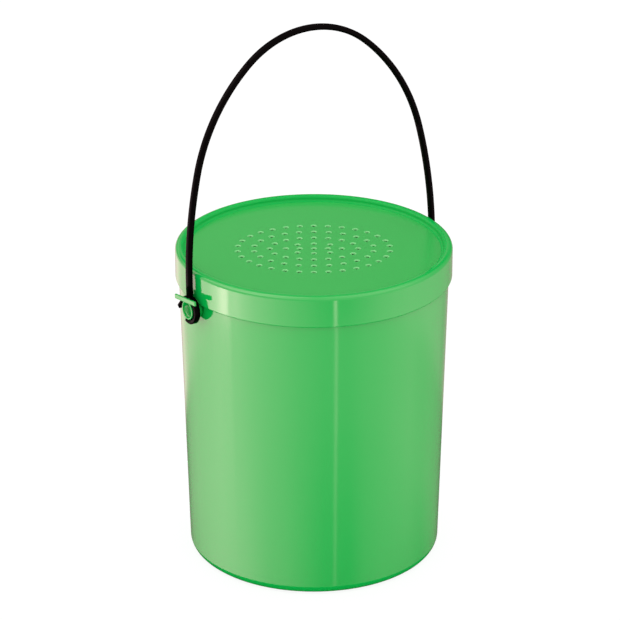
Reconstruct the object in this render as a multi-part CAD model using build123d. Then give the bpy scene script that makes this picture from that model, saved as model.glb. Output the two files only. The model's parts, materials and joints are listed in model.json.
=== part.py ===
from build123d import *
import math
import os

# Bait bucket with a vented push-on lid and a clip-on bail. Millimetres, +Z up.
# The origin is the centre of the foot's resting plane, X runs along the bail's pivot axis
# and -Y is the front.

# --- bucket: a drafted, thin-walled moulding ---
rim_height = 182.8          # resting plane to the top of the rim
rim_radius = 76.2           # outer radius at the rim
base_radius = 71.3          # outer radius where the drafted side meets the resting plane
bucket_wall = 1.6
floor_thickness = 1.8
foot_height = 1.8           # the floor stands this far above the resting plane
foot_width = 4.5            # flat width of the foot ring
heel_radius = 3.0           # rounding between the side and the foot
floor_fillet = 2.5          # rounding between the side and the floor, inside
rim_round = 0.5
gate_radius = 5.0           # shallow dish round the moulding gate, under the floor
gate_depth = 0.5

# --- lid: a channel that straddles the rim, round a sunken vented panel ---
lid_wall = 1.5
skirt_depth = 17.6          # lid top to the skirt's lower edge
rim_clearance = 0.3         # each side of the rim, in the channel
seat_gap = 0.2              # rim top to channel roof
panel_drop = 3.0            # lid top to the panel's upper face
plug_depth = 2.6            # how far the channel's inner wall hangs below the panel
lid_shoulder = 2.0          # outer rounding of the lid's top edge
lid_edge_round = 0.6
lid_turn = -32.8            # how far the lid is turned round on the rim, degrees

# --- vents: ovals of small holes, one inside another ---
vent_diameter = 2.2
vent_spacing = 8.3          # along an oval, from hole to hole
vent_oval_pitch = 9.1       # from one oval to the next
vent_field_length = 86.0    # outermost oval, on hole centres
vent_field_width = 68.8
drill_overrun = 1.0         # each side of the panel

# --- pivot studs, moulded with the bucket ---
pivot_below_rim = 19.5
stud_diameter = 10.8
stud_root_depth = 0.96      # how far the stud's root reaches into the bucket's wall
stud_core_diameter = 7.6    # blind hole that cores the stud from its end
stud_core_depth = 5.5
skirt_relief = 0.3          # flat on the stud's root, below the lid's skirt
keeper_thickness = 1.5      # the bar across the stud's end that keeps the hub on
keeper_overhang = 0.45      # how far the bar reaches past the hub, each way and above
keeper_bite = 0.8           # the bar's lower edge lies this far below the stud's top
keeper_round = 0.5

# --- bail: a flexible strand with a clip-on hub at each end ---
hub_running_fit = 0.07      # radial, on the stud
hub_wall = 1.85
hub_length = 5.9
hub_to_lid = 1.1            # hub's inner face to the lid's skirt
hub_to_keeper = 0.3
hub_edge_chamfer = 0.4
mouth_angle = 80.0          # the clip's mouth, degrees of arc
mouth_direction = -40.0     # middle of the mouth, degrees below the back's horizontal
strand_offset = 0.5         # strand's centre inboard of the hub's middle
strand_thickness = 3.3      # in the bail's plane
strand_width = 3.7          # across the bail's plane
strand_round = 1.3
leg_length = 8.0            # straight part of each leg, from the pivot axis
leg_arc_radius = 310.0
leg_arc_turn = 12.3         # degrees
shoulder_arc_radius = 108.4
shoulder_arc_turn = 36.5    # degrees; the crown's arc closes what is left
bail_lean = 2.6             # the standing bail leans this far to the back, degrees

# --- sizes and places that follow ---
lid_roof = rim_height + seat_gap
lid_top = lid_roof + lid_wall
skirt_bottom = lid_top - skirt_depth
skirt_inner_radius = rim_radius + rim_clearance
lid_radius = skirt_inner_radius + lid_wall
plug_outer_radius = rim_radius - bucket_wall - rim_clearance
plug_inner_radius = plug_outer_radius - lid_wall
panel_top = lid_top - panel_drop
panel_bottom = panel_top - lid_wall

pivot_height = rim_height - pivot_below_rim
stud_radius = stud_diameter / 2
hub_bore_radius = stud_radius + hub_running_fit
hub_radius = hub_bore_radius + hub_wall
hub_inner_face = lid_radius + hub_to_lid
hub_outer_face = hub_inner_face + hub_length
bail_half_width = (hub_inner_face + hub_outer_face) / 2 - strand_offset


def bucket_radius(height):
    """Outer radius of the drafted side at a height above the resting plane."""
    return base_radius + (rim_radius - base_radius) * height / rim_height


def corner(face, x, y):
    """The face's vertex nearest to a point."""
    return face.vertices().sort_by_distance((x, y, 0))[0]


def rounded(face, corners):
    """Round some corners of a flat profile, each (x, y, radius)."""
    for x, y, radius in corners:
        face = fillet(corner(face, x, y), radius)
    return face


def turned(face):
    """Revolve a profile of radius and height about the vertical axis."""
    return revolve(Plane.XZ * face, Axis.Z)


def along_x(x_start, x_end, profile):
    """Extrude a profile of (Y, Z), measured from the pivot, between two places on X."""
    plane = Plane(origin=(x_start, 0, pivot_height), x_dir=(0, 1, 0), z_dir=(1, 0, 0))
    return extrude(plane * profile, x_end - x_start)


def make_shell():
    """The bucket's side, floor and foot ring."""
    floor_top = foot_height + floor_thickness
    foot_inner = base_radius - heel_radius - foot_width
    floor_corner = bucket_radius(floor_top) - bucket_wall
    rim_inner = rim_radius - bucket_wall
    profile = make_face(Polyline(
        (0, foot_height), (foot_inner, foot_height), (foot_inner, 0), (base_radius, 0),
        (rim_radius, rim_height), (rim_inner, rim_height), (floor_corner, floor_top),
        (0, floor_top), close=True))
    profile = rounded(profile, [
        (base_radius, 0, heel_radius), (floor_corner, floor_top, floor_fillet),
        (rim_radius, rim_height, rim_round), (rim_inner, rim_height, rim_round)])
    gate = Pos(0, 0, foot_height) * Cylinder(
        gate_radius, gate_depth, align=(Align.CENTER, Align.CENTER, Align.MIN))
    return turned(profile) - gate


def make_stud():
    """The right-hand stud: a cored round peg with the keeper bar across its end."""
    root = bucket_radius(pivot_height) - stud_root_depth
    peg = along_x(root, hub_outer_face, Circle(stud_radius))
    relief_floor = skirt_bottom - skirt_relief - pivot_height
    relief = along_x(root, lid_radius + skirt_relief,
                     Pos(0, relief_floor) * Rectangle(stud_diameter, stud_diameter,
                                                      align=(Align.CENTER, Align.MIN)))
    keeper_face = hub_outer_face + hub_to_keeper
    keeper_end = keeper_face + keeper_thickness
    keeper_length = 2 * (hub_radius + keeper_overhang)
    keeper_bottom = stud_radius - keeper_bite
    keeper_height = hub_radius + keeper_overhang - keeper_bottom
    keeper = along_x(keeper_face, keeper_end,
                     Pos(0, keeper_bottom) * RectangleRounded(
                         keeper_length, keeper_height, keeper_round,
                         align=(Align.CENTER, Align.MIN)))
    core_radius = stud_core_diameter / 2
    web_profile = Circle(stud_radius) & Pos(0, core_radius) * Rectangle(
        stud_diameter, stud_diameter, align=(Align.CENTER, Align.MIN))
    web = along_x(hub_outer_face - hub_length / 2, keeper_end, web_profile)
    core = along_x(hub_outer_face - stud_core_depth, keeper_end, Circle(core_radius))
    return peg - relief + keeper + web - core


def make_bucket():
    stud = make_stud()
    return make_shell() + stud + mirror(stud, Plane.YZ)


def vent_points():
    """Hole centres: equal steps round each oval, then a row along the middle."""
    half_length = vent_field_length / 2
    half_width = vent_field_width / 2
    points = []
    while half_width >= vent_oval_pitch / 2:
        oval = EllipticalCenterArc((0, 0), half_length, half_width, 90, arc_size=360)
        count = 2 * round(oval.length / (2 * vent_spacing))
        points += [oval @ (step / count) for step in range(count)]
        row_reach = half_length
        half_length -= vent_oval_pitch
        half_width -= vent_oval_pitch
    gaps = max(1, round(row_reach / vent_spacing))
    row_pitch = row_reach / gaps
    return points + [Vector(step * row_pitch, 0) for step in range(1 - gaps, gaps)]


def make_lid():
    """Skirt, channel and sunken panel turned in one, then the vents drilled through."""
    plug_bottom = panel_bottom - plug_depth
    profile = make_face(Polyline(
        (lid_radius, skirt_bottom), (lid_radius, lid_top), (plug_inner_radius, lid_top),
        (plug_inner_radius, panel_top), (0, panel_top), (0, panel_bottom),
        (plug_inner_radius, panel_bottom), (plug_inner_radius, plug_bottom),
        (plug_outer_radius, plug_bottom), (plug_outer_radius, lid_roof),
        (skirt_inner_radius, lid_roof), (skirt_inner_radius, skirt_bottom), close=True))
    profile = rounded(profile, [
        (lid_radius, lid_top, lid_shoulder), (plug_inner_radius, lid_top, lid_edge_round),
        (plug_inner_radius, panel_top, lid_edge_round),
        (lid_radius, skirt_bottom, lid_edge_round),
        (plug_outer_radius, plug_bottom, lid_edge_round)])
    vent = Cylinder(vent_diameter / 2, lid_wall + 2 * drill_overrun)
    middle = (panel_top + panel_bottom) / 2
    vents = [Rot(0, 0, lid_turn) * Pos(point.X, point.Y, middle) * vent
             for point in vent_points()]
    return turned(profile) - vents


def bail_path():
    """Centre line of the bail in (X, Z), measured from the pivot axis."""
    leg = math.radians(leg_arc_turn)
    both = math.radians(leg_arc_turn + shoulder_arc_turn)
    # the crown's arc meets the shoulders in a tangent and closes the width
    drawn_in = leg_arc_radius * (1 - math.cos(leg))
    drawn_in += shoulder_arc_radius * (math.cos(leg) - math.cos(both))
    crown_arc_radius = (bail_half_width - drawn_in) / math.cos(both)
    start = hub_bore_radius + hub_wall / 2
    side = Line((bail_half_width, start), (bail_half_width, leg_length))
    side += JernArc(side @ 1, side % 1, leg_arc_radius, leg_arc_turn)
    side += JernArc(side @ 1, side % 1, shoulder_arc_radius, shoulder_arc_turn)
    side += JernArc(side @ 1, side % 1, crown_arc_radius, 90 - math.degrees(both))
    return side


def make_hub_ring(x_start):
    """One hub without its bore: a short tube with chamfered ends."""
    ring = along_x(x_start, x_start + hub_length, Circle(hub_radius))
    rims = ring.edges().filter_by(GeomType.CIRCLE)
    return chamfer(rims, hub_edge_chamfer)


def make_bail():
    """Strand and hubs in one moulding, leaning on its pivots."""
    path = Pos(0, 0, pivot_height) * (Plane.XZ * bail_path())
    start = Plane(origin=path @ 0, x_dir=(1, 0, 0), z_dir=path % 0)
    section = start * RectangleRounded(strand_thickness, strand_width, strand_round)
    half = sweep(section, path=path) + make_hub_ring(hub_inner_face)
    mouth = [math.radians(mouth_direction + side * mouth_angle / 2) for side in (-1, 1)]
    reach = 2 * hub_radius
    wedge = make_face(Polyline(
        (0, 0), *[(reach * math.cos(a), reach * math.sin(a)) for a in mouth], close=True))
    bore = along_x(hub_inner_face, hub_outer_face, Circle(hub_bore_radius))
    half = half - bore - along_x(hub_inner_face, hub_outer_face, wedge)
    pivot = Axis((0, 0, pivot_height), (1, 0, 0))
    return (half + mirror(half, Plane.YZ)).rotate(pivot, -bail_lean)


parts = {
    "bucket_body": make_bucket(),
    "lid": make_lid(),
    "bail_handle": make_bail(),
}

os.makedirs("parts", exist_ok=True)
for name, solid in parts.items():
    export_step(solid, f"parts/{name}.step")
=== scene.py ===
# %% [markdown]
# # A bait bucket and its vented lid
# The bucket comes out of three moulds: a thin drafted pail with a stud on each side, a lid
# that straddles the rim, and a black bail that clips over the studs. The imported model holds
# their true sizes. This script gives them clean, round surfaces and their plastics, so the
# model is loaded first and everything after it is measured from it.
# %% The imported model
import json
import math
import bmesh
import bpy
from mathutils import Matrix, Vector


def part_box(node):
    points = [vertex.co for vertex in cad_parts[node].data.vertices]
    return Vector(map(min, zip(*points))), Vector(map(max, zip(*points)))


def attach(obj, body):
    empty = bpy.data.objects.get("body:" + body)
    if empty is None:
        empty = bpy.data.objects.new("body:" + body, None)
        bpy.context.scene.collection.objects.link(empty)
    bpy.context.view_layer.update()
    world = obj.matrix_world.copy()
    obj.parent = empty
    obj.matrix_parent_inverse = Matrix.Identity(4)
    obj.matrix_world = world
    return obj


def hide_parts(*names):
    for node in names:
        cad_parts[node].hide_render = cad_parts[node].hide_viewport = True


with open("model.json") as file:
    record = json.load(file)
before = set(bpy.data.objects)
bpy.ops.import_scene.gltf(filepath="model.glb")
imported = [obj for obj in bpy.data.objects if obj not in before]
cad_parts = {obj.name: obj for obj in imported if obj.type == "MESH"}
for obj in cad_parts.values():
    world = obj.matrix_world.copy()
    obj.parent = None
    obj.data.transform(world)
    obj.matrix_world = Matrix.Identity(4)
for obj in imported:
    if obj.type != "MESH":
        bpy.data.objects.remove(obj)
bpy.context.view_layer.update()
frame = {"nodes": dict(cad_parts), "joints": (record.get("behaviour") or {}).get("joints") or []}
mm = 0.001

# %% [markdown]
# ## The camera
# A catalogue picture of a bucket is taken from well back with a long lens, so that the sides
# stay nearly parallel. The lens looks down by a little over 23 degrees, which opens the
# lid's ellipse, and the bail's pivot axis is turned 33 degrees out of the picture plane.
# %% Camera
camera_turn = math.radians(-32.8)
camera_distance = 1.6542
camera_height = 0.8576
camera_tilt = math.radians(23.336)
camera_roll = math.radians(0.08)
camera_pan = math.radians(0.042)
camera_lens = 184.6
sensor_width = 36.0


def level_direction(turn):
    """Unit vector on the floor, turned from straight in front of the bucket."""
    return Vector((math.sin(turn), -math.cos(turn), 0))


camera_data = bpy.data.cameras.new("catalogue_camera")
camera_data.sensor_width = sensor_width
camera_data.lens = camera_lens
camera = bpy.data.objects.new("catalogue_camera", camera_data)
camera.location = level_direction(camera_turn) * camera_distance
camera.location.z = camera_height
camera.rotation_euler = (math.pi / 2 - camera_tilt, camera_roll, camera_turn + camera_pan)
bpy.context.scene.collection.objects.link(camera)
bpy.context.scene.camera = camera
print("camera at", tuple(round(v, 3) for v in camera.location))

# %% [markdown]
# ## Sizes
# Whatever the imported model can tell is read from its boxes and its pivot. Only what a box
# doesn't show is written down here: walls, gaps, roundings, and how far the pail narrows
# towards its foot. Named sizes keep the pieces in step when one of them changes.
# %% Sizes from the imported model
lid_low, lid_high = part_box("lid")
lid_radius = lid_high.x
lid_crown = 0.5 * mm
lid_top = lid_high.z + lid_crown
skirt_bottom = lid_low.z
rim_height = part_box("bucket_body")[1].z
pivot_height = next(joint["pos_m"][2] for joint in frame["joints"] if joint["type"] == "hinge")
print("rim at", round(rim_height / mm, 1), "pivot at", round(pivot_height / mm, 1))

# %% Walls, gaps and roundings of the lid
lid_wall = 1.2 * mm
rim_clearance = 0.3 * mm
panel_drop = 3.4 * mm
plug_depth = 2.6 * mm
lid_shoulder = 2.5 * mm
rim_inner_round = 1.5 * mm
lid_edge_round = 0.6 * mm
panel_fillet = 1.85 * mm
rim_lean = 0.25 * mm
print("lid wall", round(lid_wall / mm, 1), "mm, panel", round(panel_drop / mm, 1), "mm down")

# %% Walls, gaps and roundings of the pail
rim_radius = lid_radius - lid_wall - rim_clearance
base_radius = 71.8 * mm
bucket_wall = 1.9 * mm
floor_thickness = 1.8 * mm
foot_height = 1.8 * mm
foot_width = 2.5 * mm
heel_radius = 5.0 * mm
floor_fillet = 2.5 * mm
rim_round = 0.5 * mm
foot_round = 0.3 * mm
gate_radius = 5.0 * mm
gate_depth = 0.5 * mm
print("pail wall", round(bucket_wall / mm, 1), "mm, rim radius", round(rim_radius / mm, 1))

# %% [markdown]
# ## Turned mouldings
# The pail and the lid are both bodies of revolution. Drawing half a section and spinning it
# is what the mould's own lathe work did, and it leaves even strips of faces that shine
# without ripples. Corners are drawn sharp and rounded afterwards with a bevel, because the
# bevel knows where the rounding starts and ends and no arc has to be worked out by hand.
# %% Spin and round
turned_steps = 192
hair = 0.001 * mm
tiny_round_segments = 3
small_round_segments = 5
wide_round_segments = 8
shoulder_segments = 10


def turned(outline, steps=turned_steps):
    """Spin a run of (radius, height) points and close its two open ends with flat discs."""
    shape = bmesh.new()
    points = [shape.verts.new((radius, 0, height)) for radius, height in outline]
    lines = [shape.edges.new(pair) for pair in zip(points, points[1:])]
    bmesh.ops.spin(shape, geom=points + lines, cent=(0, 0, 0), axis=(0, 0, 1),
                   angle=math.tau, steps=steps, use_merge=True)
    ends = [edge for edge in shape.edges if edge.is_boundary]
    bmesh.ops.holes_fill(shape, edges=ends, sides=0)
    bmesh.ops.recalc_face_normals(shape, faces=shape.faces)
    return shape


def round_ring(shape, radius, height, rounding, segments=small_round_segments):
    """Bevel the ring of edges that lies at a radius and a height."""
    def lies_there(vert):
        return abs(vert.co.xy.length - radius) < hair and abs(vert.co.z - height) < hair
    ring = [edge for edge in shape.edges if all(lies_there(vert) for vert in edge.verts)]
    bmesh.ops.bevel(shape, geom=ring, offset=rounding, offset_type="OFFSET", segments=segments,
                    profile=0.5, affect="EDGES", material=-1, clamp_overlap=True)


print("a full turn has", turned_steps, "strips of faces")

# %% [markdown]
# ## Putting a piece in its place
# A finished shape becomes an object at the origin, with its place in its mesh. It rides on
# one of the moving bodies and stands in for the rougher piece of the imported model. Smooth
# shading rounds off the strips, and the Weighted Normal modifier lets the large faces lead, so
# that flat faces next to a rounding stay flat.
# %% Finish and place
large_faces_lead = 100


def finish_piece(shape, name, body, stands_for):
    """Store a finished shape as a smooth piece that rides on its body."""
    mesh = bpy.data.meshes.new(name)
    shape.to_mesh(mesh)
    shape.free()
    return place_piece(mesh, name, body, stands_for)


def place_piece(mesh, name, body, stands_for):
    """Shade a mesh smooth and give it its body and the piece it replaces."""
    mesh.shade_smooth()
    piece = bpy.data.objects.new(name, mesh)
    bpy.context.scene.collection.objects.link(piece)
    corners = piece.modifiers.new("flat faces stay flat", "WEIGHTED_NORMAL")
    corners.weight = large_faces_lead
    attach(piece, body)
    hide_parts(stands_for)
    print(name, len(mesh.polygons), "faces")
    return piece


print("pieces stand in for", sorted(frame["nodes"]))

# %% [markdown]
# ## The pail
# A pail is drafted so that it slides off the mould's core: it is about five millimetres wider
# in radius at the rim than at the foot. The floor is lifted on a narrow ring, so the pail
# doesn't rock, and a small dish under it hides the stub of the moulding gate.
# %% Pail wall and floor
def side_radius(height):
    """Outer radius of the drafted side."""
    return base_radius + (rim_radius - base_radius) * height / rim_height


floor_top = foot_height + floor_thickness
floor_corner = side_radius(floor_top) - bucket_wall
rim_inner = rim_radius - bucket_wall
foot_inner = base_radius - heel_radius - foot_width

pail = turned([
    (floor_corner, floor_top), (rim_inner, rim_height), (rim_radius, rim_height),
    (base_radius, 0), (foot_inner, 0), (foot_inner, foot_height),
    (gate_radius, foot_height), (gate_radius, foot_height + gate_depth)])
round_ring(pail, floor_corner, floor_top, floor_fillet)
round_ring(pail, rim_inner, rim_height, rim_round)
round_ring(pail, rim_radius, rim_height, rim_round)
round_ring(pail, base_radius, 0, heel_radius, segments=wide_round_segments)
round_ring(pail, foot_inner, 0, foot_round, segments=tiny_round_segments)
print("pail wall", len(pail.faces), "faces")

# %% [markdown]
# ## The studs
# Each stud is a round peg, cored from its end so that its thick root doesn't sink as it
# cools. A bar across the top of its end keeps the bail's hub from sliding off: it stands
# just in front of the hub, is longer than the hub is wide, and its front end is a little
# raised. One stud is drawn and mirrored, as the two halves of the mould are.
# %% Stud sizes
stud_radius = 5.4 * mm
stud_root_depth = 0.96 * mm
core_radius = 4.5 * mm
core_depth = 3.2 * mm
skirt_relief = 0.3 * mm
keeper_thickness = 1.2 * mm
keeper_height = 2.6 * mm
keeper_overhang = 2.6 * mm
keeper_tilt = math.radians(7.0)
keeper_bite = 0.6 * mm
keeper_round = 0.3 * mm
stud_edge_round = 0.25 * mm
hub_running_fit = 0.07 * mm
hub_wall = 2.7 * mm
hub_length = 3.5 * mm
hub_to_lid = 1.3 * mm
hub_to_keeper = 0.3 * mm
stud_proud = 0.5 * mm
hub_radius = stud_radius + hub_running_fit + hub_wall
hub_inner_face = lid_radius + hub_to_lid
hub_outer_face = hub_inner_face + hub_length
stud_end = hub_outer_face + hub_to_keeper + keeper_thickness
stud_steps = 64
print("stud ends at", round(stud_end / mm, 1), "mm from the axis")


# %% Laying, joining and mirroring shapes
def lay_along_x(shape, faces_from):
    """Turn what was built on the vertical axis so that it points along X at the pivot."""
    bmesh.ops.rotate(shape, verts=shape.verts, cent=(0, 0, 0),
                     matrix=Matrix.Rotation(math.pi / 2, 3, "Y"))
    bmesh.ops.translate(shape, verts=shape.verts, vec=(faces_from, 0, pivot_height))


def absorb(target, extra):
    """Copy one shape into another and free it."""
    carrier = bpy.data.meshes.new("carrier")
    extra.to_mesh(carrier)
    extra.free()
    target.from_mesh(carrier)
    bpy.data.meshes.remove(carrier)


def mirrored(shape):
    """A shape with its own reflection in the plane X = 0 beside it."""
    twin = shape.copy()
    bmesh.ops.scale(twin, verts=twin.verts, vec=(-1, 1, 1))
    bmesh.ops.reverse_faces(twin, faces=twin.faces)
    absorb(shape, twin)
    return shape


print("pivot axis at", round(pivot_height / mm, 1), "mm")


# %% Peg with its core
def make_peg():
    """The peg, from inside the wall to its end, where it is hollow."""
    root = side_radius(pivot_height) - stud_root_depth
    step = lid_radius + skirt_relief - root
    length = hub_outer_face + stud_proud - root
    peg = turned([
        (stud_radius, 0), (stud_radius, step), (stud_radius, step + hair * 2),
        (stud_radius, length), (core_radius, length), (core_radius, length - core_depth)],
        steps=stud_steps)
    round_ring(peg, stud_radius, length, stud_edge_round, segments=tiny_round_segments)
    round_ring(peg, core_radius, length, stud_edge_round, segments=tiny_round_segments)
    lay_along_x(peg, root)
    # the root is cut flat on top where the lid's skirt comes down over it
    flat = skirt_bottom - skirt_relief
    for vert in peg.verts:
        if vert.co.x < root + step + hair:
            vert.co.z = min(vert.co.z, flat)
    return peg


stud = make_peg()
print("peg", len(stud.faces), "faces")


# %% Keeper bar
def make_keeper():
    """The bar across the stud's end, with its edges rounded and its front end raised."""
    keeper_half = hub_radius + keeper_overhang
    keeper_middle = stud_radius - keeper_bite + keeper_height / 2
    bar = bmesh.new()
    bmesh.ops.create_cube(bar, size=1.0)
    bmesh.ops.scale(bar, verts=bar.verts,
                    vec=(keeper_thickness, 2 * keeper_half, keeper_height))
    bmesh.ops.translate(bar, verts=bar.verts,
                        vec=(stud_end - keeper_thickness / 2, 0, keeper_middle))
    bmesh.ops.rotate(bar, verts=bar.verts, cent=(0, 0, 0),
                     matrix=Matrix.Rotation(-keeper_tilt, 3, "X"))
    bmesh.ops.translate(bar, verts=bar.verts, vec=(0, 0, pivot_height))
    bmesh.ops.bevel(bar, geom=bar.edges, offset=keeper_round, offset_type="OFFSET",
                    segments=tiny_round_segments, profile=0.5, affect="EDGES", material=-1)
    return bar


absorb(stud, make_keeper())
print("peg and keeper bar", len(stud.faces), "faces")

# %% Both studs join the pail
absorb(pail, mirrored(stud))
bucket = finish_piece(pail, "bucket_shell", "bucket", "bucket_body")

# %% [markdown]
# ## The lid
# In section the lid is a channel: an outer skirt, a flat top, and an inner wall that plugs
# into the pail. Inside the channel a flat panel lies a little over three millimetres lower.
# All of it is one outline, and the two flat discs of the panel close its ends. The channel's
# top falls slightly inwards, and its outer corner, which the hand meets, is the rounder one.
# %% Lid channel and panel
lid_roof = rim_height + rim_clearance
skirt_inner = lid_radius - lid_wall
plug_outer = rim_inner - rim_clearance
plug_inner = plug_outer - lid_wall
panel_top = lid_top - panel_drop
panel_bottom = panel_top - lid_wall
plug_bottom = panel_bottom - plug_depth

cover = turned([
    (plug_inner, panel_top), (plug_inner, lid_top - rim_lean), (lid_radius, lid_top),
    (lid_radius, skirt_bottom), (skirt_inner, skirt_bottom), (skirt_inner, lid_roof),
    (plug_outer, lid_roof), (plug_outer, plug_bottom), (plug_inner, plug_bottom),
    (plug_inner, panel_bottom)])
round_ring(cover, lid_radius, lid_top, lid_shoulder, segments=shoulder_segments)
round_ring(cover, plug_inner, lid_top - rim_lean, rim_inner_round,
           segments=wide_round_segments)
round_ring(cover, plug_inner, panel_top, panel_fillet, segments=wide_round_segments)
round_ring(cover, lid_radius, skirt_bottom, lid_edge_round)
round_ring(cover, plug_outer, plug_bottom, lid_edge_round)
print("lid before its vents", len(cover.faces), "faces")

# %% [markdown]
# ## The vents
# Air reaches the bait through small holes, set in ovals one inside another. Holes that keep
# an even step along each oval look right at its narrow ends, so every oval is walked in short
# paces and a hole is set each time the walk has covered one step. The lid can be pressed on
# at any angle: here the ovals' long axis lies across the picture.
# %% Vent sizes
vent_radius = 1.1 * mm
vent_rounding = 0.7 * mm
vent_spacing = 8.3 * mm
vent_oval_pitch = 9.1 * mm
vent_field_length = 86.0 * mm
vent_field_width = 68.8 * mm
lid_turn = camera_turn
paces = 1440
print("vents", round(2 * vent_radius / mm, 1), "mm across")


# %% Points round an oval
def oval_points(half_length, half_width, count):
    """Points an equal way apart round an oval, the first at the end of its short axis."""
    def at(pace):
        angle = math.pi / 2 + math.tau * pace / paces
        return Vector((half_length * math.cos(angle), half_width * math.sin(angle), 0))
    walk = [0.0]
    for pace in range(paces):
        walk.append(walk[-1] + (at(pace + 1) - at(pace)).length)
    stops = [walk[-1] * step / count for step in range(count)]
    return [at(min(range(paces), key=lambda pace: abs(walk[pace] - stop))) for stop in stops]


def oval_length(half_length, half_width):
    """Ramanujan's formula for the way round an oval."""
    squeeze = ((half_length - half_width) / (half_length + half_width)) ** 2
    mean = math.pi * (half_length + half_width)
    return mean * (1 + 3 * squeeze / (10 + math.sqrt(4 - 3 * squeeze)))


widest = oval_length(vent_field_length / 2, vent_field_width / 2)
print("widest oval is", round(widest / mm, 1), "mm round")


# %% Where the vents are
def vent_points():
    """Hole centres: the ovals from the outside in, then a row along the middle."""
    half_length = vent_field_length / 2
    half_width = vent_field_width / 2
    points = []
    while half_width >= vent_oval_pitch / 2:
        # an even number of holes makes both halves of an oval alike
        count = 2 * round(oval_length(half_length, half_width) / (2 * vent_spacing))
        points += oval_points(half_length, half_width, count)
        row_reach = half_length
        half_length -= vent_oval_pitch
        half_width -= vent_oval_pitch
    gaps = max(1, round(row_reach / vent_spacing))
    row_pitch = row_reach / gaps
    return points + [Vector((step * row_pitch, 0, 0)) for step in range(1 - gaps, gaps)]


vents = vent_points()
print(len(vents), "vents")

# %% [markdown]
# Each hole is cut with a small turned drill whose collar leaves a soft edge on the panel's
# upper face. A boolean takes all the drills away at once. Its result is kept as a plain mesh,
# so nothing depends on the drills afterwards.
# %% Drills
vent_steps = 24
drill_overrun = 1.0 * mm


def make_drills():
    """One drill for every vent, in a single shape."""
    drill = turned([
        (vent_radius, panel_bottom - drill_overrun), (vent_radius, panel_top),
        (vent_radius + vent_rounding, panel_top),
        (vent_radius + vent_rounding, panel_top + drill_overrun)], steps=vent_steps)
    round_ring(drill, vent_radius, panel_top, vent_rounding, segments=tiny_round_segments)
    pattern = bpy.data.meshes.new("drill")
    drill.to_mesh(pattern)
    drill.free()
    turn = Matrix.Rotation(lid_turn, 4, "Z")
    drills = bmesh.new()
    for point in vents:
        placed = pattern.copy()
        placed.transform(Matrix.Translation(turn @ point))
        drills.from_mesh(placed)
        bpy.data.meshes.remove(placed)
    bpy.data.meshes.remove(pattern)
    return drills


drills = make_drills()
print("drills", len(drills.faces), "faces")


# %% Drilling
def cut_away(shape, cutters):
    """Subtract one shape from another and give back a plain mesh."""
    pair = []
    for name, part in (("blank", shape), ("cutters", cutters)):
        mesh = bpy.data.meshes.new(name)
        part.to_mesh(mesh)
        part.free()
        pair.append(bpy.data.objects.new(name, mesh))
        bpy.context.scene.collection.objects.link(pair[-1])
    blank, tool = pair
    boolean = blank.modifiers.new("cut", "BOOLEAN")
    boolean.operation = "DIFFERENCE"
    boolean.solver = "EXACT"
    boolean.object = tool
    evaluated = blank.evaluated_get(bpy.context.evaluated_depsgraph_get())
    result = bpy.data.meshes.new_from_object(evaluated)
    for helper in pair:
        bpy.data.objects.remove(helper)
    return result


lid_mesh = cut_away(cover, drills)
lid_mesh.name = "vented_lid"
lid = place_piece(lid_mesh, "vented_lid", "lid", "lid")

# %% [markdown]
# ## The bail
# The bail is one strand of black plastic, a rounded rectangle in section, that springs from a
# hub on each side. Its centre line is a short straight leg and three arcs that meet in
# tangents. A spin about each arc's centre carries the section along it exactly. The legs stay
# straight long enough to leave room for the lid when it is lifted between them.
# %% Bail sizes
strand_thickness = 3.4 * mm
strand_width = 3.9 * mm
strand_round = 1.3 * mm
leg_length = 12.0 * mm
leg_arc_radius = 268.0 * mm
leg_arc_turn = math.radians(14.0)
shoulder_arc_radius = 106.3 * mm
shoulder_arc_turn = math.radians(36.0)
bail_lean = math.radians(2.6)
arc_step = math.radians(0.6)
crown_step = math.radians(1.6)

hub_bore_radius = stud_radius + hub_running_fit
bail_half_width = (hub_inner_face + hub_outer_face) / 2
both_turns = leg_arc_turn + shoulder_arc_turn
drawn_in = leg_arc_radius * (1 - math.cos(leg_arc_turn))
drawn_in += shoulder_arc_radius * (math.cos(leg_arc_turn) - math.cos(both_turns))
crown_arc_radius = (bail_half_width - drawn_in) / math.cos(both_turns)
print("crown arc radius", round(crown_arc_radius / mm, 1))


# %% Strand
def strand_section():
    """The strand's section, lying flat at the origin."""
    section = bmesh.new()
    bmesh.ops.create_grid(section, x_segments=1, y_segments=1, size=0.5)
    bmesh.ops.scale(section, verts=section.verts, vec=(strand_thickness, strand_width, 1))
    bmesh.ops.bevel(section, geom=section.verts, offset=strand_round, offset_type="OFFSET",
                    segments=small_round_segments, profile=0.5, affect="VERTICES",
                    material=-1)
    return section


def carry_on(shape, end, centre, turn, step):
    """Spin the open end of the strand about an arc's centre and give back the new end."""
    swept = bmesh.ops.spin(shape, geom=end, cent=centre, axis=(0, -1, 0), angle=turn,
                           steps=math.ceil(turn / step), use_duplicate=False)
    return [item for item in swept["geom_last"] if isinstance(item, bmesh.types.BMFace)]


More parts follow.
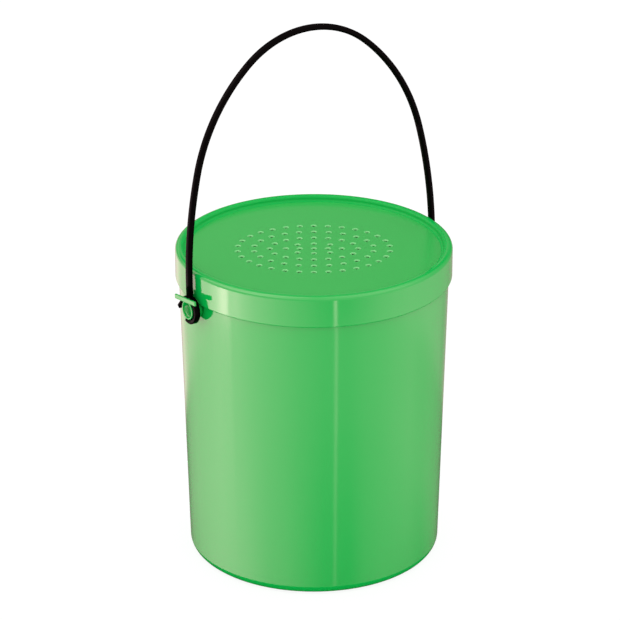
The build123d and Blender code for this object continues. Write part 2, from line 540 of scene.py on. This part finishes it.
def make_strand():
    """The right-hand half of the strand, from inside the hub to the crown, from the pivot."""
    shape = strand_section()
    start = hub_bore_radius + hub_wall / 2
    bmesh.ops.translate(shape, verts=shape.verts, vec=(bail_half_width, 0, start))
    grown = bmesh.ops.extrude_face_region(shape, geom=shape.faces[:])["geom"]
    verts = [item for item in grown if isinstance(item, bmesh.types.BMVert)]
    bmesh.ops.translate(shape, verts=verts, vec=(0, 0, leg_length - start))
    end = [item for item in grown if isinstance(item, bmesh.types.BMFace)]
    point = Vector((bail_half_width, 0, leg_length))
    heading = 0.0
    arcs = ((leg_arc_radius, leg_arc_turn, arc_step),
            (shoulder_arc_radius, shoulder_arc_turn, arc_step),
            (crown_arc_radius, math.pi / 2 - both_turns, crown_step))
    for radius, turn, step in arcs:
        inward = Vector((-math.cos(heading), 0, -math.sin(heading)))
        centre = point + inward * radius
        end = carry_on(shape, end, centre, turn, step)
        heading += turn
        point = centre + Vector((math.cos(heading), 0, math.sin(heading))) * radius
    bmesh.ops.delete(shape, geom=end, context="FACES_ONLY")
    return shape


half_bail = make_strand()
bmesh.ops.recalc_face_normals(half_bail, faces=half_bail.faces)
print("half strand", len(half_bail.faces), "faces")

# %% [markdown]
# The hub is an open clip, so that it can be pressed over the stud. A rectangle with chamfered
# outer corners is spun round from the mouth's upper edge to its lower one, and the face it
# started from is drawn out into a straight lip that leads the stud in.
# %% Clip-on hub
hub_chamfer = 0.4 * mm
mouth_top = math.radians(44.0)
mouth_bottom = math.radians(65.0)
lip_length = 8.3 * mm
lip_round = 0.5 * mm
hub_steps = 56


def make_hub():
    """One hub, on the X axis through the pivot."""
    hub = bmesh.new()
    outline = [
        (hub_inner_face, hub_bore_radius), (hub_inner_face, hub_radius - hub_chamfer),
        (hub_inner_face + hub_chamfer, hub_radius), (hub_outer_face - hub_chamfer, hub_radius),
        (hub_outer_face, hub_radius - hub_chamfer), (hub_outer_face, hub_bore_radius)]
    corners = [hub.verts.new((x, radius * math.cos(mouth_top), radius * math.sin(mouth_top)))
               for x, radius in outline]
    section = hub.faces.new(corners)
    lip = bmesh.ops.extrude_face_region(hub, geom=[section], use_keep_orig=True)["geom"]
    tip = [item for item in lip if isinstance(item, bmesh.types.BMVert)]
    along = Vector((0, math.sin(mouth_top), -math.cos(mouth_top)))
    bmesh.ops.translate(hub, verts=tip, vec=along * lip_length)
    tip_edges = [edge for edge in hub.edges if all(vert in tip for vert in edge.verts)]
    bmesh.ops.spin(hub, geom=[section], cent=(0, 0, 0), axis=(1, 0, 0),
                   angle=math.tau - mouth_top - mouth_bottom, steps=hub_steps,
                   use_duplicate=False)
    bmesh.ops.delete(hub, geom=[section], context="FACES_ONLY")
    bmesh.ops.recalc_face_normals(hub, faces=hub.faces)
    bmesh.ops.bevel(hub, geom=tip_edges, offset=lip_round, offset_type="OFFSET",
                    segments=tiny_round_segments, profile=0.5, affect="EDGES", material=-1)
    return hub


absorb(half_bail, make_hub())
print("half strand and hub", len(half_bail.faces), "faces")

# %% Both halves of the bail
whole_bail = mirrored(half_bail)
bmesh.ops.remove_doubles(whole_bail, verts=whole_bail.verts, dist=hair)
bmesh.ops.rotate(whole_bail, verts=whole_bail.verts, cent=(0, 0, 0),
                 matrix=Matrix.Rotation(-bail_lean, 3, "X"))
bmesh.ops.translate(whole_bail, verts=whole_bail.verts, vec=(0, 0, pivot_height))
bail = finish_piece(whole_bail, "bail", "bail", "bail_handle")

# %% [markdown]
# ## Plastics
# Both green mouldings are the same polypropylene. Its colour is strong and even, but a real
# moulding is never quite flat: the wall sinks and swells by hundredths of a millimetre, which
# bends a reflection, and the flow of the melt leaves faint paler drifts. One node group
# makes these effects, and each plastic sets their strength.
# %% Node helpers
def noise(nodes, links, place, scale, detail):
    """A noise texture in the piece's own coordinates, in features per metre."""
    texture = nodes.new("ShaderNodeTexNoise")
    texture.inputs["Scale"].default_value = scale
    texture.inputs["Detail"].default_value = detail
    links.new(place.outputs["Object"], texture.inputs["Vector"])
    return texture


def math_node(nodes, links, operation, first, second):
    """One sum; either side may be a socket or a number."""
    node = nodes.new("ShaderNodeMath")
    node.operation = operation
    for socket, value in zip(node.inputs, (first, second)):
        if isinstance(value, (int, float)):
            socket.default_value = value
        else:
            links.new(value, socket)
    return node.outputs[0]


def new_group(name, inputs, outputs):
    """A shader group with its sockets, given as (name, type, value)."""
    group = bpy.data.node_groups.new(name, "ShaderNodeTree")
    for label, kind, value in inputs:
        socket = group.interface.new_socket(label, in_out="INPUT", socket_type=kind)
        socket.default_value = value
    for label, kind in outputs:
        group.interface.new_socket(label, in_out="OUTPUT", socket_type=kind)
    return group


print("helpers for noise, sums and groups")

# %% Mould finish group
flow_scale = 14.0
ripple_scale = 38.0
mottle_scale = 260.0


def make_mould_finish():
    """Colour drift, uneven gloss and a slow ripple, all over the piece."""
    group = new_group("mould_finish", [
        ("Colour", "NodeSocketColor", (1, 1, 1, 1)),
        ("Drift Colour", "NodeSocketColor", (1, 1, 1, 1)),
        ("Drift", "NodeSocketFloat", 0.3),
        ("Roughness", "NodeSocketFloat", 0.2),
        ("Unevenness", "NodeSocketFloat", 0.04),
        ("Grain Scale", "NodeSocketFloat", 900.0),
        ("Grain Height", "NodeSocketFloat", 0.1),
    ], [("Colour", "NodeSocketColor"), ("Roughness", "NodeSocketFloat"),
        ("Height", "NodeSocketFloat")])
    nodes, links = group.nodes, group.links
    given = nodes.new("NodeGroupInput")
    result = nodes.new("NodeGroupOutput")
    place = nodes.new("ShaderNodeTexCoord")
    flow = noise(nodes, links, place, flow_scale, 2.0)
    ripple = noise(nodes, links, place, ripple_scale, 1.0)
    mottle = noise(nodes, links, place, mottle_scale, 3.0)
    grain = nodes.new("ShaderNodeTexNoise")
    links.new(place.outputs["Object"], grain.inputs["Vector"])
    links.new(given.outputs["Grain Scale"], grain.inputs["Scale"])

    amount = math_node(nodes, links, "MULTIPLY", flow.outputs["Fac"], given.outputs["Drift"])
    colour = nodes.new("ShaderNodeMix")
    colour.data_type = "RGBA"
    links.new(amount, colour.inputs["Factor"])
    links.new(given.outputs["Colour"], colour.inputs["A"])
    links.new(given.outputs["Drift Colour"], colour.inputs["B"])
    links.new(colour.outputs["Result"], result.inputs["Colour"])

    swing = math_node(nodes, links, "SUBTRACT", mottle.outputs["Fac"], 0.5)
    uneven = math_node(nodes, links, "MULTIPLY", swing, given.outputs["Unevenness"])
    gloss = math_node(nodes, links, "ADD", uneven, given.outputs["Roughness"])
    links.new(gloss, result.inputs["Roughness"])

    fine = math_node(nodes, links, "MULTIPLY", grain.outputs["Fac"],
                     given.outputs["Grain Height"])
    height = math_node(nodes, links, "ADD", ripple.outputs["Fac"], fine)
    links.new(height, result.inputs["Height"])
    return group


mould_finish = make_mould_finish()
print("group", mould_finish.name, "has", len(mould_finish.nodes), "nodes")

# %% [markdown]
# The gloss is not the same everywhere. The walls left a polished mould, the lid's panel has a
# satin finish, and the lid's tight corners are more matt still; their reflection is also turned
# right down, which is painted shade in the recess. The rounded edge of a vent is painted paler:
# painted light that stands in for light coming through the thin edge and for its highlights. So
# there are four greens, all made by one function with other values, and the black of the bail is
# made by it too.
# %% A moulded plastic
moulded_ior = 1.5
wall_ripple = 0.03 * mm
bail_ripple = 0.02 * mm


def finish_values(colour, drift_colour, roughness, unevenness, grain_height=0.0):
    """What the mould finish needs: two colours, half mixed by the flow, and the gloss."""
    return {"Colour": (*colour, 1), "Drift Colour": (*drift_colour, 1), "Drift": 0.5,
            "Roughness": roughness, "Unevenness": unevenness, "Grain Height": grain_height}


def plastic(name, settings, ripple_height, shader_values):
    """A moulded plastic: the mould finish feeding a Principled shader."""
    material = bpy.data.materials.new(name)
    material.use_nodes = True
    nodes, links = material.node_tree.nodes, material.node_tree.links
    shader = nodes["Principled BSDF"]
    finish = nodes.new("ShaderNodeGroup")
    finish.node_tree = mould_finish
    for label, value in settings.items():
        finish.inputs[label].default_value = value
    bump = nodes.new("ShaderNodeBump")
    bump.inputs["Distance"].default_value = ripple_height
    links.new(finish.outputs["Colour"], shader.inputs["Base Color"])
    links.new(finish.outputs["Roughness"], shader.inputs["Roughness"])
    links.new(finish.outputs["Height"], bump.inputs["Height"])
    links.new(bump.outputs["Normal"], shader.inputs["Normal"])
    for label, value in shader_values.items():
        shader.inputs[label].default_value = value
    return material


print("ripple", round(wall_ripple / mm, 2), "mm")

# %% The five finishes
wall_green = (0.002, 0.435, 0.066)
wall_green_drift = (0.006, 0.455, 0.074)
green_plastic = plastic(
    "green_polypropylene", finish_values(wall_green, wall_green_drift, 0.08, 0.03),
    wall_ripple, {"IOR": moulded_ior})
panel_plastic = plastic(
    "satin_green_polypropylene",
    finish_values((0.030, 0.445, 0.078), (0.036, 0.465, 0.085), 0.26, 0.04),
    wall_ripple, {"IOR": moulded_ior})
# Painted light: the vent edges get a paler green that stands in for light through the thin edge
# and for its highlights.
vent_edge_painted_light = plastic(
    "vent_green_painted_light",
    finish_values((0.17, 0.63, 0.21), (0.13, 0.58, 0.17), 0.3, 0.04),
    wall_ripple, {"IOR": moulded_ior})
# Partly a real matt finish (roughness 0.3), partly painted shade: the corner keeps the wall
# green, but its reflection is turned right down so the recess looks shaded.
matt_corner_painted_shade = plastic(
    "matt_green_painted_shade", finish_values(wall_green, wall_green_drift, 0.3, 0.04),
    wall_ripple, {"IOR": moulded_ior, "Specular IOR Level": 0.12})
black_plastic = plastic(
    "black_polypropylene",
    finish_values((0.0005, 0.0005, 0.0005), (0.001, 0.001, 0.001), 0.28, 0.08, 0.2),
    bail_ripple, {"IOR": 1.45, "Specular IOR Level": 0.025})
for piece, materials in ((bucket, [green_plastic]),
                         (lid, [green_plastic, vent_edge_painted_light, panel_plastic, matt_corner_painted_shade]),
                         (bail, [black_plastic])):
    piece.data.materials.clear()
    for material in materials:
        piece.data.materials.append(material)
    print(piece.name, "is", [material.name for material in materials])

# %% [markdown]
# The lid carries its four greens side by side, and every face has to know which is its own.
# A face tells by where its middle lies: below the panel's upper side but above its lower one
# it belongs to a vent, level with the upper side it is panel, and between the panel and the
# top of the rim it is corner. This comes after the materials are put on, because clearing a
# mesh's materials sets all its faces back to the first one.
# %% Which faces are vents, panel and corner
# Vent faces take the paler green, which is painted light; corner faces take the dulled green,
# which is painted shade.
vent_slot = 1
panel_slot = 2
corner_slot = 3
panel_reach = plug_inner - panel_fillet - hair
corner_reach = plug_inner + rim_inner_round


def part_of_lid(middle):
    """Material slot for a face of the lid, from where its middle lies."""
    reach = middle.xy.length
    if middle.z < panel_bottom + hair or reach > corner_reach:
        return 0
    if reach > panel_reach:
        return corner_slot
    return panel_slot if middle.z > panel_top - hair else vent_slot


for face in lid.data.polygons:
    face.material_index = part_of_lid(face.center)
print(sum(face.material_index == vent_slot for face in lid.data.polygons), "vent faces")

# %% [markdown]
# ## The studio
# The bucket stands in a white tent. Soft light comes from all round, so the green is even,
# and what gives it shape are the reflections of the tent's walls: a bright panel on the left
# with a clean edge, a narrow strip light a little right of the camera, and a weaker panel on
# the right. The world shows glossy surfaces those walls and shows the camera plain white.
# The walls are belts round the object. A belt is a row of (turn from the camera in degrees,
# level of light), and a colour ramp blends from one level to the next.
# %% Belts and the strip light
def wall_ramp(nodes, links, value, stops):
    """A colour ramp of grey levels, (position, level)."""
    ramp = nodes.new("ShaderNodeValToRGB")
    elements = ramp.color_ramp.elements
    # a new ramp has two stops, which may be too few or too many
    while len(elements) < len(stops):
        elements.new(0.5)
    while len(elements) > len(stops):
        elements.remove(elements[-1])
    for element, (position, level) in zip(elements, stops):
        element.position = position
        element.color = (level, level, level, 1)
    links.new(value, ramp.inputs["Fac"])
    return ramp.outputs["Color"]


strip_half_width = 1.7


def with_strip(levels, centre, light):
    """Add the strip light to one row of levels."""
    before = max(stop for stop in levels if stop[0] < centre)
    after = min(stop for stop in levels if stop[0] > centre)
    wall = (before[1] + after[1]) / 2
    strip = [(centre - strip_half_width, wall), (centre - strip_half_width / 2, light),
             (centre + strip_half_width / 2, light), (centre + strip_half_width, wall)]
    return sorted(levels + strip)


print("strip light is", 2 * strip_half_width, "degrees wide")

# %% Belts that the pail and the skirt mirror
strip_on_pail = 19.5
strip_on_skirt = 18.0

foot_row = [(-180, 0.03)]
low_row = [
    (-180, 0.15), (-158, 0.2), (-139, 0.55), (-117, 1.95), (-103, 3.05), (-91, 3.75),
    (-77, 4.2), (-64, 4.1), (-43, 2.95), (-28, 2.5), (-14, 1.8), (0, 1.1), (9, 0.75),
    (33, 0.6), (48, 1.2), (64, 1.4), (82, 1.15), (103, 0.6), (117, 0.1), (140, 0.1),
    (180, 0.1)]
side_row = [
    (-180, 0.2), (-160, 0.35), (-140, 1.05), (-121, 2.05), (-105, 3.2), (-92, 4.3),
    (-83, 4.6), (-77, 4.8), (-75.5, 4.35), (-69, 4.35), (-40, 3.25), (-13, 2.2), (9, 1.6),
    (31, 1.6), (45, 1.9), (76, 2.2), (93, 2.0), (104, 1.5), (113, 1.2), (137, 0.65),
    (165, 0.2), (180, 0.2)]
skirt_low_row = [
    (-180, 0.5), (-168, 0.9), (-157, 1.6), (-142, 1.7), (-120, 2.7), (-100, 4.3), (-90, 6.5),
    (-81, 12.4), (-76.2, 12.0), (-75.2, 7.2), (-67, 7.6), (-60, 6.2), (-51, 5.0), (-29, 3.4),
    (-12, 2.5), (4, 1.75), (14, 1.5), (29, 1.95), (42, 2.25), (56, 2.8), (70, 3.1), (86, 3.0),
    (112, 1.9), (126, 1.3), (150, 0.55), (180, 0.5)]
skirt_row = [
    (-180, 0.5), (-168, 1.0), (-157, 1.8), (-142, 1.9), (-120, 3.2), (-98, 5.1), (-88, 8.2),
    (-81, 13.0), (-76.2, 12.5), (-75.2, 7.3), (-67, 7.6), (-60, 6.2), (-51, 5.0), (-29, 3.2),
    (-12, 2.15), (4, 1.3), (14, 0.95), (29, 1.15), (42, 1.7), (56, 2.35), (70, 2.6), (86, 2.5),
    (112, 1.6), (126, 1.1), (150, 0.55), (180, 0.5)]
print(len(skirt_row), "levels round the skirt")

# %% Belts that the rim, the panel and the bail mirror
horizon_low_row = [
    (-180, 0.3), (-168, 0.8), (-157, 1.5), (-140, 1.6), (-110, 2.1), (-76, 2.6), (-46, 2.4),
    (0, 1.4), (45, 1.9), (77, 2.2), (110, 1.0), (140, 0.4), (157, 0.45), (170, 0.2),
    (177, 0.02), (180, 0.3)]
horizon_row = [
    (-180, 0.35), (-178, 0.4), (-174, 0.2), (-150, 0.4), (-110, 1.6), (-76, 2.0), (-46, 1.9),
    (0, 1.4), (45, 1.9), (77, 2.2), (110, 1.0), (150, 0.2), (177, 0.0), (179, 0.1),
    (180, 0.35)]
back_row = [
    (-180, 0.5), (-176, 0.72), (-165, 0.9), (-150, 0.8), (-110, 1.4), (-76, 2.2), (-46, 2.1),
    (0, 1.5), (45, 1.9), (77, 2.4), (110, 1.0), (150, 0.2), (165, 0.25), (176, 0.36),
    (180, 0.5)]
ceiling_row = [
    (-180, 0.1), (-150, 0.1), (-126, 2.5), (-75, 5.2), (-48, 5.0), (-20, 3.0), (0, 2.1),
    (20, 2.2), (50, 3.0), (77, 3.4), (120, 1.2), (150, 0.1), (180, 0.1)]
roof_row = [
    (-180, 0.9), (-150, 1.4), (-126, 3.5), (-65, 5.2), (-30, 3.2), (0, 2.1), (30, 2.4),
    (77, 3.4), (120, 2.2), (150, 1.0), (180, 0.9)]
print(len(roof_row), "levels round the roof")

# %% All belts, each from one height of the direction to another
tent_rows = [
    (-1.0, -0.57, foot_row),
    (-0.535, -0.51, with_strip(low_row, strip_on_pail, 1.9)),
    (-0.465, -0.434, with_strip(side_row, strip_on_pail, 3.9)),
    (-0.425, -0.41, with_strip(skirt_low_row, strip_on_skirt, 5.4)),
    (-0.398, -0.36, with_strip(skirt_row, strip_on_skirt, 6.5)),
    (-0.25, -0.04, horizon_low_row),
    (0.04, 0.22, horizon_row),
    (0.32, 0.368, back_row),
    (0.42, 0.60, ceiling_row),
    (0.85, 1.0, roof_row)]
print(len(tent_rows), "belts")

# %% [markdown]
# A gradient texture turns a direction into a turn round the tent, and its height picks the
# belts to blend. A ramp holds levels up to 1, so they are stored as shares of the brightest
# one and multiplied back afterwards.
# %% Tent walls round the object
brightest = 16.0
full_turn = 360
warm_white = (1.0, 0.68, 0.70, 1)
world = bpy.data.worlds.new("white_tent")
bpy.context.scene.world = world
world.use_nodes = True
world.cycles.sampling_method = "NONE"
world_nodes, world_links = world.node_tree.nodes, world.node_tree.links
world_nodes.clear()
direction = world_nodes.new("ShaderNodeTexCoord")
turn_to_camera = world_nodes.new("ShaderNodeMapping")
turn_to_camera.inputs["Rotation"].default_value = (0, 0, math.pi / 2 - camera_turn)
round_tent = world_nodes.new("ShaderNodeTexGradient")
round_tent.gradient_type = "RADIAL"
world_links.new(direction.outputs["Generated"], turn_to_camera.inputs["Vector"])
world_links.new(turn_to_camera.outputs["Vector"], round_tent.inputs["Vector"])
apart = world_nodes.new("ShaderNodeSeparateXYZ")
world_links.new(direction.outputs["Generated"], apart.inputs["Vector"])

walls = None
for start, end, levels in tent_rows:
    stops = [(0.5 + angle / full_turn, level / brightest) for angle, level in levels]
    row = wall_ramp(world_nodes, world_links, round_tent.outputs["Fac"], stops)
    if walls is not None:
        rise = world_nodes.new("ShaderNodeMapRange")
        rise.inputs["From Min"].default_value = last_end
        rise.inputs["From Max"].default_value = start
        world_links.new(apart.outputs["Z"], rise.inputs["Value"])
        blend = world_nodes.new("ShaderNodeMix")
        blend.data_type = "RGBA"
        world_links.new(rise.outputs["Result"], blend.inputs["Factor"])
        world_links.new(walls, blend.inputs["A"])
        world_links.new(row, blend.inputs["B"])
        row = blend.outputs["Result"]
    walls = row
    last_end = end
print("tent world has", len(world_nodes), "nodes")

# %% [markdown]
# Matt light doesn't come from the walls. It is one plain level from the side and a little
# more from above, at which a colour renders about as it is written.
# %% Tent shader
level_from_side = 0.93
level_from_above = 1.35
wall_light = math_node(world_nodes, world_links, "MULTIPLY", walls, brightest)
mirrored_tent = world_nodes.new("ShaderNodeBackground")
mirrored_tent.inputs["Color"].default_value = warm_white
world_links.new(wall_light, mirrored_tent.inputs["Strength"])
rays = world_nodes.new("ShaderNodeLightPath")
upward = world_nodes.new("ShaderNodeMapRange")
upward.inputs["To Min"].default_value = level_from_side
upward.inputs["To Max"].default_value = level_from_above
world_links.new(apart.outputs["Z"], upward.inputs["Value"])
even_light = world_nodes.new("ShaderNodeMix")
even_light.inputs["B"].default_value = 1.0
world_links.new(rays.outputs["Is Camera Ray"], even_light.inputs["Factor"])
world_links.new(upward.outputs["Result"], even_light.inputs["A"])
even_tent = world_nodes.new("ShaderNodeBackground")
even_tent.inputs["Color"].default_value = (1, 1, 1, 1)
world_links.new(even_light.outputs["Result"], even_tent.inputs["Strength"])
choice = world_nodes.new("ShaderNodeMixShader")
world_out = world_nodes.new("ShaderNodeOutputWorld")
world_links.new(rays.outputs["Is Glossy Ray"], choice.inputs["Fac"])
world_links.new(even_tent.outputs["Background"], choice.inputs[1])
world_links.new(mirrored_tent.outputs["Background"], choice.inputs[2])
world_links.new(choice.outputs["Shader"], world_out.inputs["Surface"])
print("plain light", level_from_side, "from the side and", level_from_above, "from above")

# %% [markdown]
# ## The floor
# A pale sheet lies under the bucket. It is lit like everything else, so the bucket keeps its
# soft shadow, but most of what the camera sees of it is plain white, as on a cut-out page.
# %% Floor sheet
floor_half = 3.0

floor_mesh = bpy.data.meshes.new("floor")
sheet = bmesh.new()
bmesh.ops.create_grid(sheet, x_segments=1, y_segments=1, size=floor_half)
sheet.to_mesh(floor_mesh)
sheet.free()
floor = bpy.data.objects.new("floor", floor_mesh)
bpy.context.scene.collection.objects.link(floor)
floor.visible_glossy = False
print("floor", 2 * floor_half, "m wide")

# %% Floor material
floor_white = 0.88
shadow_share = 0.15
page_level = 1.05

floor_material = bpy.data.materials.new("white_sheet")
floor_material.use_nodes = True
floor_nodes, floor_links = floor_material.node_tree.nodes, floor_material.node_tree.links
floor_nodes.clear()
matt = floor_nodes.new("ShaderNodeBsdfDiffuse")
matt.inputs["Color"].default_value = (floor_white, floor_white, floor_white, 1)
page = floor_nodes.new("ShaderNodeEmission")
page.inputs["Strength"].default_value = page_level
seen = floor_nodes.new("ShaderNodeLightPath")
share = math_node(floor_nodes, floor_links, "MULTIPLY", seen.outputs["Is Camera Ray"],
                  1 - shadow_share)
blend = floor_nodes.new("ShaderNodeMixShader")
floor_out = floor_nodes.new("ShaderNodeOutputMaterial")
floor_links.new(share, blend.inputs["Fac"])
floor_links.new(matt.outputs["BSDF"], blend.inputs[1])
floor_links.new(page.outputs["Emission"], blend.inputs[2])
floor_links.new(blend.outputs["Shader"], floor_out.inputs["Surface"])
floor.data.materials.append(floor_material)
bpy.context.scene.view_settings.view_transform = "Standard"
print("floor keeps", shadow_share, "of its shadow")
